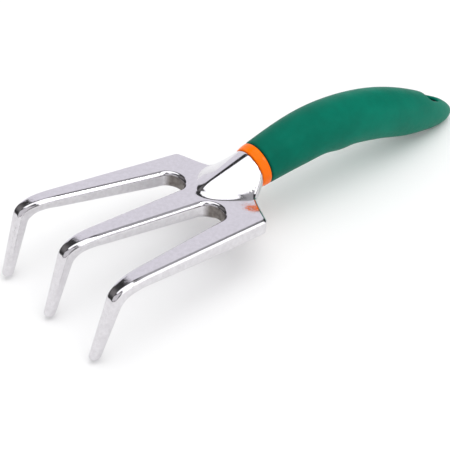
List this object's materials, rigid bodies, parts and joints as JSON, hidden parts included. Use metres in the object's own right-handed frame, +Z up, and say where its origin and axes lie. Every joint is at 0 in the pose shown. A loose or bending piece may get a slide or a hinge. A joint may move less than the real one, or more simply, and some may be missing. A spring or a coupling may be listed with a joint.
{
  "type": "hand cultivator",
  "caption": "Hand cultivator with bent tines on a polished cast head, a collar ring and a curved soft grip with a hanging hole.",
  "frame": {"origin": "bottom centre of the bounding box, on the ground that the tine tips and the butt rest on", "axes": "+X from the tines towards the butt of the handle, +Z up from the ground, +Y across the tines"},
  "size_m": [0.2944, 0.092, 0.0518],
  "materials": {
    "head": "cast and polished, bright on the hub and edges, satin on the flats",
    "collar": "glossy moulded plastic",
    "core": "plain moulded plastic",
    "grip": "soft satin rubber"
  },
  "bodies": {
    "root": {"head_casting": "head", "collar_ring": "collar", "handle_core": "core", "grip_sleeve": "grip"}
  },
  "joints": []
}
